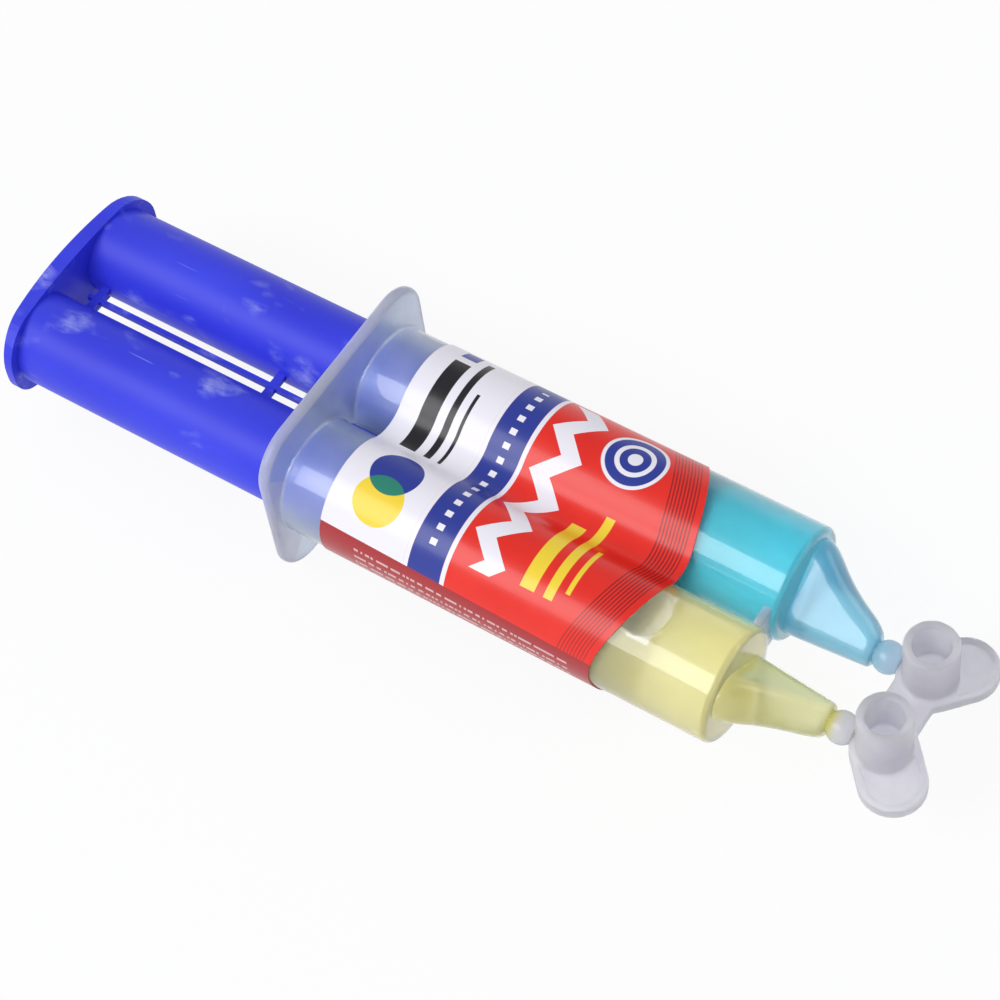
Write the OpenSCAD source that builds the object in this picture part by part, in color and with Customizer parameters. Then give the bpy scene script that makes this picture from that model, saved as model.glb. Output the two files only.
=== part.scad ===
// Twin-barrel adhesive syringe: two sealed barrels side by side on one finger flange, a double
// plunger with a snap-out mixing stick between its rods, two pistons, two tapered nozzles, a
// wrapped label and a snap-off tab that recaps the nozzles.
// Long axis along X with the nozzles at +X, barrels side by side along Y, +Z up.
// The origin is below the middle of the part, on the surface that it stands on.

/* [Barrels] */
// Outer diameter of each barrel
barrel_d = 19.4; // [18.4:0.1:21]
// Wall of each barrel
barrel_wall = 1; // [0.8:0.05:1.2]
// Gap between the two barrels
barrel_gap = 1.35; // [1.25:0.05:2.5]
// Length of each barrel in front of the finger flange
barrel_len = 78; // [74:1:100]
// Thickness of the wall that closes each barrel
end_wall = 1.2; // [0.8:0.1:1.6]
// Rounding of the rim round that wall
rim_round = 0.9; // [0.3:0.1:1.2]
// Height of the plate that ties the two barrels together at their ends
end_tie_h = 10; // [6:0.5:14]
// Length of that plate along the barrels
end_tie_t = 1.7; // [1:0.1:3]

/* [Finger flange] */
// Width of the flange past the outer side of each barrel
flange_side = 1.6; // [1.2:0.1:8]
// Height of the flange above and below the barrels
flange_lip = 6.8; // [4:0.1:10]
// Thickness of the flange
flange_t = 2; // [1.4:0.1:3]
// Radius of the flange's corners
flange_corner = 7.4; // [3:0.1:9]
// Rounding of the flange's edges
flange_edge = 0.7; // [0.2:0.1:0.9]

/* [Nozzles] */
// Length of each nozzle in front of its barrel
nozzle_len = 14.1; // [9:0.1:20]
// Wall of each nozzle
nozzle_wall = 0.9; // [0.6:0.1:1.1]
// Outer diameter of each nozzle's tip
tip_d = 5.6; // [4.6:0.1:5.8]
// Distance of each tip inward from its barrel's axis
tip_inset = 3.3; // [2.6:0.1:4.2]
// Distance of the tips below the barrels' axes
tip_drop = 3; // [0:0.1:4]
// Diameter of each outlet
outlet_d = 1.8; // [1:0.1:2.2]
// Diameter of the passage through each barrel's end wall
passage_d = 6; // [3:0.1:6.6]

/* [Label] */
// Distance of the label's straight edge from the flange
label_start = 7.7; // [4:0.1:14]
// Length of the label along its middle
label_len = 54.8; // [30:0.2:62]
// Thickness of the label
label_t = 0.2; // [0.15:0.01:0.3]
// Bow of the label's curved edge over the width of the two barrels
label_sweep = 6.3; // [1:0.1:8]
// Distance of that curve's crest from the middle, to the resin's side
label_skew = 2.2; // [-4:0.1:4]
// Radius at which the label dips between the barrels
label_dip_r = 5.6; // [3:0.1:8]

/* [Plunger] */
// Gap between each rod and the bore of its barrel
rod_gap = 1.05; // [0.6:0.05:1.6]
// Wall of each rod
rod_wall = 1.2; // [0.9:0.1:1.6]
// Length of adhesive left in front of each piston
column_len = 46; // [30:0.5:50]
// Room left behind the flange when the barrels are empty
spare_out = 8; // [5:0.1:16]
// Length of each piston's head
piston_head = 6; // [4:0.1:9]
// Length of each piston's spigot inside its rod
piston_spigot = 6; // [3:0.1:10]

/* [Thumb plate] */
// Width of the plate past the outer side of each rod
plate_side = 1.7; // [1:0.1:4]
// Height of the plate above and below the rods
plate_lip = 0.5; // [0.4:0.05:4]
// Height of the straight part of each of the plate's ends, between its round corners
plate_flat = 1.6; // [0.8:0.1:10]
// Thickness of the plate at its middle
plate_mid_t = 2.7; // [1.8:0.1:3.6]
// Thickness of the plate at its ends
plate_end_t = 1.5; // [1:0.1:1.7]
// Bow of the plate's inner face
plate_bow = 1.3; // [0.6:0.1:2.4]

/* [Mixing stick] */
// Length of the stick
stick_len = 77; // [56:1:84]
// Width of the stick, between the rods
stick_w = 0.8; // [0.6:0.05:1.1]
// Height of the stick
stick_h = 1.1; // [1:0.1:2.4]
// Width of each tie that holds the stick
tie_w = 1.5; // [0.8:0.1:2.4]
// Height of each tie
tie_h = 1; // [0.6:0.1:1.4]
// Length of the stick behind its rear tie
stick_stub = 1; // [0.5:0.1:2]
// Distance between the two pairs of ties
tie_pitch = 36.2; // [20:0.2:38]

/* [Snap-off tab] */
// Diameter of the ball that closes each nozzle
ball_d = 5.4; // [4.4:0.1:6]
// Depth of the flat on each wing that carries its ball
ball_seat = 0.3; // [0.1:0.05:0.5]
// Diameter of the neck that snaps off the nozzle
neck_d = 3.6; // [2:0.1:4]
// Distance from the balls' centres to the sockets' axes
socket_reach = 7.2; // [6.6:0.1:9]
// Outer diameter of each recapping socket
socket_d = 8.8; // [8:0.1:10]
// Bore of each recapping socket
socket_bore = 6; // [5.9:0.1:6.4]
// Depth of that bore
socket_depth = 7.5; // [4:0.1:8.5]
// Height of each socket above the tab's plate
socket_h = 9.2; // [8.8:0.1:12]
// Thickness of the tab's plate
tab_t = 2.4; // [2:0.1:3.4]
// Width of each finger wing
wing_w = 10.7; // [9.6:0.1:13]
// Length from a socket's axis to its wing's outer centre
wing_len = 5.6; // [3:0.1:9]
// Angle of the wings out from the long axis
wing_angle = 48; // [30:1:70]
// Width of the rim round each wing
wing_rim = 1.1; // [0.7:0.1:2]
// Depth of the dish in each wing
wing_dish = 0.8; // [0.3:0.1:1.2]

/* [Fits] */
// Radial clearance of a piston's lips in the barrel
piston_fit = 0.05; // [0.02:0.01:0.09]
// Radial clearance of a piston's spigot in its rod
spigot_fit = 0.1; // [0.05:0.01:0.2]
// Clearance of the adhesive to what holds it
fill_fit = 0.03; // [0.02:0.01:0.05]
// Gap between label and barrel
label_fit = 0.04; // [0.02:0.01:0.08]
// Gap at each neck, where the tab snaps off
snap_fit = 0.1; // [0.05:0.01:0.2]
// Clearance round the stick where it passes the flange
stick_fit = 0.3; // [0.2:0.05:0.4]

/* [Hidden] */

// Sides of the part: the resin lies at -Y, the hardener at +Y
resin = -1;
hardener = 1;

// Overrun of every cut past the face that it opens
over = 0.5;

barrel_r = barrel_d / 2;
bore_r = barrel_r - barrel_wall;
axis_y = (barrel_d + barrel_gap) / 2;
chamber_end = barrel_len - end_wall;

flange_w = 2 * (axis_y + barrel_r + flange_side);
flange_h = 2 * (barrel_r + flange_lip);

nozzle_end = barrel_len + nozzle_len;
tip_r = tip_d / 2;
tip_y = axis_y - tip_inset;
tip_wall = nozzle_wall * 1.2;
// Length over which a tip is rounded off
tip_round = tip_r / 4;
// Root of a nozzle: two circles on the end wall, each placed outward and up from the barrel's
// axis and given its radius, all as shares of the bore's radius
root_low_shares = [-0.345, -0.3, 0.48];
root_high_shares = [0.356, 0.264, 0.437];
// Rounding of a nozzle's outer flank: how far along the nozzle a third circle stands, its place
// outward and up as shares of the bore's radius, and its radius as a share of it
flank_shares = [0.2, 0.255, 0.176, 0.414];

label_r = barrel_r + label_fit + label_t;
label_dip_z = sqrt(pow(label_r + label_dip_r, 2) - pow(axis_y, 2));

rod_r = bore_r - rod_gap;
rod_bore_r = rod_r - rod_wall;
piston_x = chamber_end - column_len;
rod_front = piston_x - piston_head;
plate_x = -(column_len + flange_t + spare_out);
plate_back = plate_x - plate_mid_t;
plate_w = 2 * (axis_y + rod_r + plate_side);
plate_h = 2 * (rod_r + plate_lip);
plate_corner = (plate_h - plate_flat) / 2;
plate_inner_r = bow_radius(plate_w / 2, plate_bow);
plate_outer_r = bow_radius(plate_w / 2, plate_bow + plate_mid_t - plate_end_t);
lip_r = bore_r - piston_fit;

// The stick's rear end stands off the thumb plate by this much
stick_rear = plate_x + spare_out / 4;
rear_tie_x = stick_rear + stick_stub;

ball_r = ball_d / 2;
neck_r = neck_d / 2;
ball_x = nozzle_end + snap_fit + sqrt(pow(ball_r, 2) - pow(neck_r, 2));
socket_x = ball_x + socket_reach;
wing_r = wing_w / 2;
wing_x = socket_x + wing_len * cos(wing_angle);
wing_y = tip_y + wing_len * sin(wing_angle);
tab_top = -tip_drop + tab_t / 4;
tab_floor = tab_top - tab_t;
// The bridge reaches from inside the sockets' round ends to between the wings
bridge_rear = socket_x - wing_r * 0.85;
bridge_front = socket_x + wing_r * 0.55;
// Plane of the flats where the balls sit
seat_x = socket_x - wing_r + ball_seat;
// Planes where the bridge ends and the wings start
split_y = tip_y * 0.7;

part_front = wing_x + wing_r;
centre_x = (part_front + plate_back) / 2;

round_fn = 96;
bow_fn = 256;
small_fn = 48;
hull_fn = 32;
label_steps = 48;
dip_steps = 12;
wing_steps = 24;
corner_steps = 10;
ball_steps = 20;

// Radius of an arc over half a chord with a given bow
function bow_radius(half, bow) = (half * half + bow * bow) / (2 * bow);

// Moves a piece from the barrels' own frame to the part's frame
module placed() {
    translate([-centre_x, 0, flange_h / 2]) children();
}

// Mirrors a piece modelled on the hardener's side to the side asked for
module on_side(side) {
    mirror([0, side < 0 ? 1 : 0, 0]) children();
}

// Lays a Y-Z outline, or a turned body, along X
module along_x() {
    rotate([90, 0, 90]) children();
}

// Cylinder along X from one place to another
module bar_x(from, to, r, fn = round_fn) {
    translate([from, 0, 0]) along_x() cylinder(r = r, h = to - from, $fn = fn);
}

// Points along an arc
function arc_points(centre, r, from, to, steps) =
    [for (i = [0:steps]) let (a = from + (to - from) * i / steps) centre + r * [cos(a), sin(a)]];

// Rectangle with round corners, centred
module rounded_rect(w, h, r) {
    y = w / 2 - r;
    z = h / 2 - r;
    polygon(concat(
        arc_points([y, z], r, 0, 90, corner_steps),
        arc_points([-y, z], r, 90, 180, corner_steps),
        arc_points([-y, -z], r, 180, 270, corner_steps),
        arc_points([y, -z], r, 270, 360, corner_steps)
    ));
}

// Slot shape between two centres, seen from above
module obround(a, b, r) {
    angle = atan2(b[1] - a[1], b[0] - a[0]);
    polygon(concat(
        arc_points(a, r, angle + 90, angle + 270, wing_steps),
        arc_points(b, r, angle - 90, angle + 90, wing_steps)
    ));
}

// Rounded disc, one corner of the finger flange
module flange_disc() {
    bar_x(flange_edge, flange_t - flange_edge, flange_corner, hull_fn);
    bar_x(0, flange_t, flange_corner - flange_edge, hull_fn);
}

module finger_flange() {
    corner_y = flange_w / 2 - flange_corner;
    corner_z = flange_h / 2 - flange_corner;
    slot = [flange_t + 2 * over, stick_w + 2 * stick_fit, stick_h + 2 * stick_fit];
    color([0.74, 0.78, 0.86, 0.75]) placed() difference() {
        translate([-flange_t, 0, 0]) hull()
            for (sy = [-1, 1], sz = [-1, 1])
                translate([0, sy * corner_y, sz * corner_z]) flange_disc();
        for (side = [resin, hardener])
            translate([0, side * axis_y, 0]) bar_x(-flange_t - over, over, bore_r);
        translate([-flange_t / 2, 0, 0]) cube(slot, center = true);
    }
}

// Outline of one barrel, turned round its axis
module barrel_profile() {
    round_steps = 6;
    rim = [for (i = [0:round_steps])
        let (a = 90 * i / round_steps)
        [barrel_r - rim_round * (1 - cos(a)), barrel_len - rim_round * (1 - sin(a))]];
    polygon(concat(
        [[bore_r, 0], [barrel_r, 0]],
        rim,
        [[0, barrel_len], [0, chamber_end], [bore_r, chamber_end]]
    ));
}

// Place of a nozzle's root circle on the end wall, seen from the part's middle plane
function root_at(shares) = [axis_y + shares[0] * bore_r, shares[1] * bore_r];

module barrel(side) {
    low = root_at(root_low_shares);
    placed() on_side(side) difference() {
        translate([0, axis_y, 0]) along_x() rotate_extrude($fn = round_fn) barrel_profile();
        translate([0, low[0], low[1]])
            bar_x(chamber_end - over, barrel_len + over, passage_d / 2, small_fn);
    }
}

module resin_barrel() {
    color([0.86, 0.87, 0.84, 0.5]) barrel(resin);
}

module hardener_barrel() {
    color([0.82, 0.88, 0.9, 0.5]) barrel(hardener);
}

// Thin plate that ties the barrels together at their ends
module end_tie() {
    color([0.84, 0.88, 0.9, 0.6]) placed() difference() {
        translate([barrel_len - rim_round - end_tie_t, -axis_y, -end_tie_h / 2])
            cube([end_tie_t, 2 * axis_y, end_tie_h]);
        for (side = [resin, hardener])
            translate([0, side * axis_y, 0]) bar_x(0, barrel_len, barrel_r);
    }
}

// Tapered body from the two root circles to the tip, drawn in by a wall
module nozzle_form(from, to, inset) {
    thin = tip_round / 4;
    flank_x = barrel_len + flank_shares[0] * nozzle_len;
    hull() {
        for (shares = [root_low_shares, root_high_shares])
            translate([0, root_at(shares)[0], root_at(shares)[1]])
                bar_x(from, from + thin, shares[2] * bore_r - inset, hull_fn);
        translate([0, axis_y + flank_shares[1] * bore_r, flank_shares[2] * bore_r])
            bar_x(flank_x, flank_x + thin, flank_shares[3] * bore_r - inset, hull_fn);
        translate([0, tip_y, -tip_drop]) {
            bar_x(to - tip_round - thin, to - tip_round, tip_r - inset, hull_fn);
            bar_x(to - thin, to, tip_r - inset - tip_round / 2, hull_fn);
        }
    }
}

// Hollow of a nozzle, opened behind its root, or what fills it with a clearance
module nozzle_hollow(fit) {
    nozzle_form(barrel_len - nozzle_wall / 4, nozzle_end - tip_wall - fit, nozzle_wall + fit);
}

module nozzle(side) {
    placed() on_side(side) difference() {
        nozzle_form(barrel_len, nozzle_end, 0);
        nozzle_hollow(0);
        translate([0, tip_y, -tip_drop])
            bar_x(nozzle_end - 2 * tip_wall, nozzle_end + over, outlet_d / 2, small_fn);
    }
}

module resin_nozzle() {
    color([0.88, 0.87, 0.7, 0.55]) nozzle(resin);
}

module hardener_nozzle() {
    color([0.62, 0.85, 0.9, 0.55]) nozzle(hardener);
}

// Outline of the wrapped label: round both barrels and dipping between them
module label_outline(inset) {
    wrap = atan2(label_dip_z, -axis_y);
    r = label_r - inset;
    dip_r = label_dip_r + inset;
    polygon(concat(
        arc_points([axis_y, 0], r, -wrap, wrap, label_steps),
        arc_points([0, label_dip_z], dip_r, wrap - 180, -wrap, dip_steps),
        arc_points([-axis_y, 0], r, 180 - wrap, 180 + wrap, label_steps),
        arc_points([0, -label_dip_z], dip_r, wrap, 180 - wrap, dip_steps)
    ));
}

module label_sleeve() {
    label_front = label_start + label_len;
    sweep_r = bow_radius(axis_y + label_r, label_sweep);
    color([0.86, 0.2, 0.18]) placed() intersection() {
        translate([label_start, 0, 0]) along_x() linear_extrude(label_len) difference() {
            label_outline(0);
            label_outline(label_t);
        }
        translate([label_front - sweep_r, resin * label_skew, -barrel_d])
            cylinder(r = sweep_r, h = 2 * barrel_d, $fn = round_fn);
    }
}

// Column of adhesive between a piston and the end wall
module fill(side) {
    placed() translate([0, side * axis_y, 0])
        bar_x(piston_x + fill_fit, chamber_end - fill_fit, bore_r - fill_fit);
}

module resin_fill() {
    color([0.87, 0.84, 0.5, 0.9]) fill(resin);
}

module hardener_fill() {
    color([0.2, 0.78, 0.85, 0.9]) fill(hardener);
}

// Adhesive that stands in a nozzle and in the passage behind it
module nozzle_fill(side) {
    low = root_at(root_low_shares);
    placed() on_side(side) {
        difference() {
            nozzle_hollow(fill_fit);
            translate([0, axis_y, 0]) bar_x(chamber_end, barrel_len + fill_fit, barrel_r);
        }
        translate([0, low[0], low[1]])
            bar_x(chamber_end, barrel_len + nozzle_wall, passage_d / 2 - fill_fit, small_fn);
    }
}

module resin_nozzle_fill() {
    color([0.87, 0.84, 0.5, 0.9]) nozzle_fill(resin);
}

module hardener_nozzle_fill() {
    color([0.2, 0.78, 0.85, 0.9]) nozzle_fill(hardener);
}

// Upright cylinder that shapes a face of the thumb plate, its rear line at a given place
module bow_cylinder(back, r) {
    translate([back + r, 0, -plate_h])
        cylinder(r = r, h = 2 * plate_h, $fn = bow_fn);
}

// Hollow rod, closed at the back by the thumb plate
module rod(side) {
    placed() intersection() {
        translate([0, side * axis_y, 0]) difference() {
            bar_x(plate_back, rod_front, rod_r);
            bar_x(plate_back - over, rod_front + over, rod_bore_r);
        }
        bow_cylinder(plate_x, plate_inner_r);
    }
}

module resin_rod() {
    color([0.2, 0.24, 0.82]) rod(resin);
}

module hardener_rod() {
    color([0.2, 0.24, 0.82]) rod(hardener);
}

module thumb_plate() {
    color([0.21, 0.26, 0.86]) placed() difference() {
        intersection() {
            translate([plate_back, 0, 0]) along_x()
                linear_extrude(2 * plate_mid_t + plate_bow)
                    rounded_rect(plate_w, plate_h, plate_corner);
            bow_cylinder(plate_back, plate_outer_r);
        }
        bow_cylinder(plate_x, plate_inner_r);
    }
}

// Stick for mixing the two parts, carried between the rods until it is snapped out
module mixing_stick() {
    color([0.22, 0.27, 0.88]) placed()
        translate([stick_rear, -stick_w / 2, -stick_h / 2])
            cube([stick_len, stick_w, stick_h]);
}

// Pair of thin ties from the stick to the rods on each side
module ties(x) {
    placed() difference() {
        translate([x, -axis_y, -tie_h / 2]) cube([tie_w, 2 * axis_y, tie_h]);
        translate([x - over, -stick_w / 2, -stick_h / 2])
            cube([tie_w + 2 * over, stick_w, stick_h]);
        for (side = [resin, hardener])
            translate([0, side * axis_y, 0]) bar_x(x - over, x + tie_w + over, rod_r);
    }
}

module rear_ties() {
    color([0.2, 0.24, 0.82]) ties(rear_tie_x);
}

module front_ties() {
    color([0.2, 0.24, 0.82]) ties(rear_tie_x + tie_pitch);
}

// Outline of a piston, turned round its axis, with its head's back face at zero
module piston_profile() {
    waist_r = (lip_r + rod_r) / 2;
    spigot_r = rod_bore_r - spigot_fit;
    // Places of the lips and grooves along the head
    lip_shares = [0.14, 0.3, 0.44, 0.66, 0.82, 1];
    polygon([
        [0, -piston_spigot], [spigot_r, -piston_spigot], [spigot_r, 0],
        [rod_r, 0],
        [lip_r, lip_shares[0] * piston_head], [lip_r, lip_shares[1] * piston_head],
        [waist_r, lip_shares[2] * piston_head], [waist_r, lip_shares[3] * piston_head],
        [lip_r, lip_shares[4] * piston_head], [lip_r, lip_shares[5] * piston_head],
        [0, piston_head]
    ]);
}

module piston(side) {
    placed() translate([rod_front, side * axis_y, 0])
        along_x() rotate_extrude($fn = round_fn) piston_profile();
}

module resin_piston() {
    color([0.9, 0.9, 0.92]) piston(resin);
}

module hardener_piston() {
    color([0.9, 0.9, 0.92]) piston(hardener);
}

// Plan of the whole tab, seen from above, with a flat where each ball sits
module tab_plan() {
    difference() {
        union() {
            translate([bridge_rear, -tip_y]) square([bridge_front - bridge_rear, 2 * tip_y]);
            for (side = [resin, hardener])
                wing_plan(side, wing_r);
        }
        translate([seat_x - wing_w, -wing_w - tip_y]) square([wing_w, 2 * (wing_w + tip_y)]);
    }
}

module wing_plan(side, r) {
    obround([socket_x, side * tip_y], [wing_x, side * wing_y], r);
}

// Flat plate between the two sockets
module tab_bridge() {
    color([0.82, 0.8, 0.87, 0.85]) placed()
        translate([0, 0, tab_floor]) linear_extrude(tab_t) intersection() {
            tab_plan();
            translate([bridge_rear - wing_w, -split_y]) square([3 * wing_w, 2 * split_y]);
        }
}

// Finger wing with a raised rim round a shallow dish, and the seat of its socket
module wing(side) {
    placed() on_side(side) difference() {
        translate([0, 0, tab_floor]) linear_extrude(tab_t) intersection() {
            tab_plan();
            translate([bridge_rear - wing_w, split_y]) square([4 * wing_w, wing_y + wing_r]);
        }
        translate([0, 0, tab_top - wing_dish]) linear_extrude(wing_dish + over) difference() {
            wing_plan(hardener, wing_r - wing_rim);
            translate([socket_x, tip_y]) circle(d = socket_d, $fn = small_fn);
            translate([bridge_rear - wing_w, -wing_w]) square([3 * wing_w, wing_w + split_y + wing_rim]);
        }
    }
}

module resin_wing() {
    color([0.82, 0.8, 0.87, 0.85]) wing(resin);
}

module hardener_wing() {
    color([0.82, 0.8, 0.87, 0.85]) wing(hardener);
}

// Upright socket that is pushed over a nozzle's tip to seal it again
module socket(side) {
    placed() translate([socket_x, side * tip_y, tab_top]) difference() {
        cylinder(d = socket_d, h = socket_h, $fn = round_fn);
        translate([0, 0, socket_h - socket_depth])
            cylinder(d = socket_bore, h = socket_depth + over, $fn = small_fn);
    }
}

module resin_socket() {
    color([0.84, 0.82, 0.89, 0.85]) socket(resin);
}

module hardener_socket() {
    color([0.84, 0.82, 0.89, 0.85]) socket(hardener);
}

// Outline of a ball, turned round its axis, flat at its neck and where it sits on the tab
module ball_profile() {
    seat = seat_x - ball_x;
    neck = nozzle_end + snap_fit - ball_x;
    round = arc_points([0, 0], ball_r, asin(neck / ball_r), asin(seat / ball_r), ball_steps);
    polygon(concat([[0, neck]], round, [[0, seat]]));
}

// Ball that seals a nozzle
module tip_ball(side) {
    placed() translate([ball_x, side * tip_y, -tip_drop])
        along_x() rotate_extrude($fn = small_fn) ball_profile();
}

module resin_tip_ball() {
    color([0.85, 0.84, 0.68, 0.8]) tip_ball(resin);
}

module hardener_tip_ball() {
    color([0.72, 0.86, 0.92, 0.8]) tip_ball(hardener);
}

finger_flange();
resin_barrel();
hardener_barrel();
end_tie();
resin_nozzle();
hardener_nozzle();
label_sleeve();
resin_fill();
hardener_fill();
resin_nozzle_fill();
hardener_nozzle_fill();
resin_rod();
hardener_rod();
thumb_plate();
mixing_stick();
rear_ties();
front_ties();
resin_piston();
hardener_piston();
tab_bridge();
resin_wing();
hardener_wing();
resin_socket();
hardener_socket();
resin_tip_ball();
hardener_tip_ball();
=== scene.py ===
"""Looks of a twin-barrel epoxy syringe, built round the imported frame.

Metres. +X runs from the thumb plate to the snap-off tab, +Y from the resin to the hardener, +Z up.
"""

import math

import bmesh
import bpy
import numpy as np
from mathutils import Matrix, Vector


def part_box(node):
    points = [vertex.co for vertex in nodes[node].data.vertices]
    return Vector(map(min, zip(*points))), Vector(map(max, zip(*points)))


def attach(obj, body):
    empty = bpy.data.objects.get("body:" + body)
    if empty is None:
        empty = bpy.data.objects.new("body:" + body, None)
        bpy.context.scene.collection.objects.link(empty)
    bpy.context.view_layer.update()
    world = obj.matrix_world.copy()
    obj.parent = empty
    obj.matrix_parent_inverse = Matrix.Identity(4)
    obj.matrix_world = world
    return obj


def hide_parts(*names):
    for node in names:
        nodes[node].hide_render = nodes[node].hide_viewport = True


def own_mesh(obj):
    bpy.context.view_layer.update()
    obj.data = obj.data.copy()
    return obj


MM = 0.001

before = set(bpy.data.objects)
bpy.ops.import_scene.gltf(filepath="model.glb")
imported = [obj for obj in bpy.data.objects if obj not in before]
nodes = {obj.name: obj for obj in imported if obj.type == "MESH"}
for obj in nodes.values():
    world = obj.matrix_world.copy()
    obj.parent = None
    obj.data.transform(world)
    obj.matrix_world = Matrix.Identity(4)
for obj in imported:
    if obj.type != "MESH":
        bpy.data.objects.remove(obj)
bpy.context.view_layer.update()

# ---------------------------------------------------------------- sizes read off the frame
RESIN, HARDENER = -1, 1
SIDES = {"resin": RESIN, "hardener": HARDENER}

flange_low, flange_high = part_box("finger_flange")
barrel_low, barrel_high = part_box("hardener_barrel")
column_low, column_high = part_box("hardener_fill")
label_low, label_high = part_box("label_sleeve")
tie_low, tie_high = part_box("end_tie")
nozzle_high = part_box("hardener_nozzle")[1]
ball_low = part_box("hardener_tip_ball")[0]

FILL_GAP = 0.03 * MM  # between a liquid and the wall that holds it
AXIS_Y = (barrel_low.y + barrel_high.y) / 2
AXIS_Z = (barrel_low.z + barrel_high.z) / 2
BARREL_R = (barrel_high.y - barrel_low.y) / 2
BORE_R = (column_high.y - column_low.y) / 2 + FILL_GAP
BARREL_X0, BARREL_X1 = barrel_low.x, barrel_high.x
PISTON_X = column_low.x
CHAMBER_X1 = column_high.x + FILL_GAP
NOZZLE_X1 = nozzle_high.x
LABEL_MIDDLE_X = (label_low.x + label_high.x) / 2

# ---------------------------------------------------------------- sizes of the part's source
LABEL_T = 0.2 * MM
LABEL_GAP = 0.04 * MM  # between the film and the barrels
LABEL_SWEEP = 6.3 * MM  # how far the label's front edge bows over its width
LABEL_SKEW = 2.2 * MM  # how far that edge's crest stands to the resin's side
LABEL_R = BARREL_R + LABEL_GAP + LABEL_T
LABEL_DIP_R = 5.6 * MM  # outline's radius in the dips between the barrels
TIP_R = 2.8 * MM
TIP_Y = AXIS_Y - 3.3 * MM
TIP_Z = AXIS_Z - 3.0 * MM
NOZZLE_WALL = 0.9 * MM

# the two circles in a nozzle's oval root: (outward, up, radius) as shares of the bore's radius
ROOT_LOW = (-0.345, -0.3, 0.48)
ROOT_HIGH = (0.356, 0.264, 0.437)
BLEND_SHARPNESS = 2200.0  # of the oval's blend between its circles, per metre

# how far a nozzle's outer side stands out past a straight taper, along its length
BULGE_AT = (0.0, 0.05, 0.1, 0.15, 0.2, 0.27, 0.34, 0.42, 0.5, 0.6, 0.7, 0.78, 0.85, 0.93, 1.0)
BULGE_MM = (0.45, 0.78, 0.92, 0.93, 0.85, 0.62, 0.37, 0.15, 0.03, 0.02, 0.1, 0.24, 0.34, 0.26, 0.0)
BULGE_TO = (0.8, 0.6)  # the way the outer side faces: (outward, up)

MARGIN = 0.02 * MM  # slack where faces are told apart by their place
WELD = 0.001 * MM  # corners of copied meshes that are nearer become one
UV_MM = 100.0  # millimetres of film to one unit of its UV maps


# ---------------------------------------------------------------- mesh helpers
def new_object(name, data):
    """Object in the scene that shows a mesh, or holds a lamp or a camera."""
    obj = bpy.data.objects.new(name, data)
    bpy.context.scene.collection.objects.link(obj)
    return obj


def mesh_from(name, verts, faces):
    """Mesh with its faces turned outwards."""
    mesh = bpy.data.meshes.new(name)
    mesh.from_pydata([tuple(v) for v in verts], [], faces)
    mesh.update()
    bm = bmesh.new()
    bm.from_mesh(mesh)
    bmesh.ops.recalc_face_normals(bm, faces=bm.faces)
    bm.to_mesh(mesh)
    bm.free()
    return mesh


def smooth_all(mesh):
    """Smooth shading on every face."""
    mesh.polygons.foreach_set("use_smooth", [True] * len(mesh.polygons))


def smooth(mesh, angle=35.0):
    """Smooth shading with sharp edges past an angle in degrees."""
    smooth_all(mesh)
    mesh.set_sharp_from_angle(angle=math.radians(angle))
    mesh.update()


def ring_at(x, outline):
    """Outline of (y, z) points, placed at x."""
    return [Vector((x, y, z)) for y, z in outline]


def skinned(name, rings):
    """Closed body over a row of rings with the same number of points each."""
    n = len(rings[0])
    verts = [p for ring in rings for p in ring]
    faces = []
    for i in range(len(rings) - 1):
        for j in range(n):
            k = (j + 1) % n
            faces.append((i * n + j, i * n + k, (i + 1) * n + k, (i + 1) * n + j))
    faces.append(tuple(range(n))[::-1])
    faces.append(tuple((len(rings) - 1) * n + j for j in range(n)))
    return new_object(name, mesh_from(name, verts, faces))


def turned(name, profile, y, z, segments=96):
    """Body turned round an axis along X from (x, radius) points."""
    angles = [2 * math.pi * j / segments for j in range(segments)]
    return skinned(name, [
        ring_at(x, [(y + r * math.cos(a), z + r * math.sin(a)) for a in angles])
        for x, r in profile
    ])


def evaluated(obj, name):
    """Mesh of an object with its modifiers, as a new mesh."""
    graph = bpy.context.evaluated_depsgraph_get()
    graph.update()
    mesh = bpy.data.meshes.new_from_object(obj.evaluated_get(graph))
    mesh.name = name
    return mesh


def boolean(obj, other, operation):
    """Applies one exact boolean to obj and removes the other object."""
    mod = obj.modifiers.new("cut", "BOOLEAN")
    mod.operation = operation
    mod.solver = "EXACT"
    mod.object = other
    mesh = evaluated(obj, obj.data.name)
    obj.modifiers.clear()
    obj.data = mesh
    bpy.data.objects.remove(other)


# ---------------------------------------------------------------- outlines across the X axis
def quarter(steps):
    """Angles from 0 to 90 degrees."""
    return [math.pi / 2 * i / steps for i in range(steps + 1)]


def rectangle(half_y, mid_z, half_z):
    """Outline of a rectangle about the barrels' middle."""
    corners = ((-1, -1), (1, -1), (1, 1), (-1, 1))
    return [(sy * half_y, mid_z + sz * half_z) for sy, sz in corners]


def rounded_outline(half_y, half_z, corner, inset, steps=12):
    """Rounded rectangle about the barrels' middle, drawn in by an inset."""
    points = []
    for sy, sz, start in ((1, 1, 0), (-1, 1, 90), (-1, -1, 180), (1, -1, 270)):
        for j in range(steps + 1):
            a = math.radians(start + 90 * j / steps)
            points.append((
                sy * (half_y - corner) + (corner - inset) * math.cos(a),
                AXIS_Z + sz * (half_z - corner) + (corner - inset) * math.sin(a),
            ))
    return points


def rounded_edges(x0, x1, edge, steps):
    """(x, inset) through a plate from x0 to x1 whose two edges are rounded."""
    rear = [
        (x0 + edge * (1 - math.sin(a)), edge * (1 - math.cos(a)))
        for a in reversed(quarter(steps))
    ]
    return rear + [(x0 + x1 - x, inset) for x, inset in reversed(rear)]


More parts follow.
